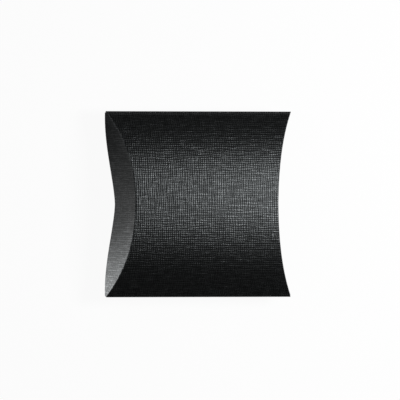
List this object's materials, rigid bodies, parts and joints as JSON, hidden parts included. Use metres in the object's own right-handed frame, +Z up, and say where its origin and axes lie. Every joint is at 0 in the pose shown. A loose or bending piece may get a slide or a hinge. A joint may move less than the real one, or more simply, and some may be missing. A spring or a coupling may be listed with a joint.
{
  "type": "pillow box",
  "caption": "Small pillow box of black linen-embossed card, with two curved panels and a pair of overlapping curved flaps at each end that fold open.",
  "frame": {"origin": "on the surface the box lies on, under the middle of the lower panel", "axes": "+X along the length to the right-hand closed end, +Y across the box to the plain fold, +Z up out of the upper panel"},
  "size_m": [0.0696, 0.0646, 0.0162],
  "materials": {
    "card": "matt black card with a fine crossed-thread linen emboss",
    "glue": "dried clear adhesive"
  },
  "bodies": {
    "box_body": {"upper_panel": "card", "lower_panel": "card", "side_fold": "card", "seam_fold": "card", "glue_flap": "card", "glue_strip": "glue"},
    "left_outer": {"left_outer_flap": "card", "left_upper_crease": "card"},
    "left_inner": {"left_inner_flap": "card", "left_lower_crease": "card"},
    "right_outer": {"right_outer_flap": "card", "right_upper_crease": "card"},
    "right_inner": {"right_inner_flap": "card", "right_lower_crease": "card"}
  },
  "joints": [
    {"name": "left_outer_fold", "type": "hinge", "parent": "box_body", "child": "left_outer", "pos_m": [-0.02648, 0, 0.01625], "axis": [0, 1, 0], "range_deg": [0, 90]},
    {"name": "left_inner_fold", "type": "hinge", "parent": "box_body", "child": "left_inner", "pos_m": [-0.02593, 0, 0], "axis": [0, -1, 0], "range_deg": [0, 54]},
    {"name": "right_outer_fold", "type": "hinge", "parent": "box_body", "child": "right_outer", "pos_m": [0.02648, 0, 0.01625], "axis": [0, -1, 0], "range_deg": [0, 90]},
    {"name": "right_inner_fold", "type": "hinge", "parent": "box_body", "child": "right_inner", "pos_m": [0.02593, 0, 0], "axis": [0, 1, 0], "range_deg": [0, 54]}
  ],
  "couplings": [
    {"joint": "left_inner_fold", "follows": "left_outer_fold", "ratio": 0.6},
    {"joint": "right_inner_fold", "follows": "right_outer_fold", "ratio": 0.6}
  ]
}
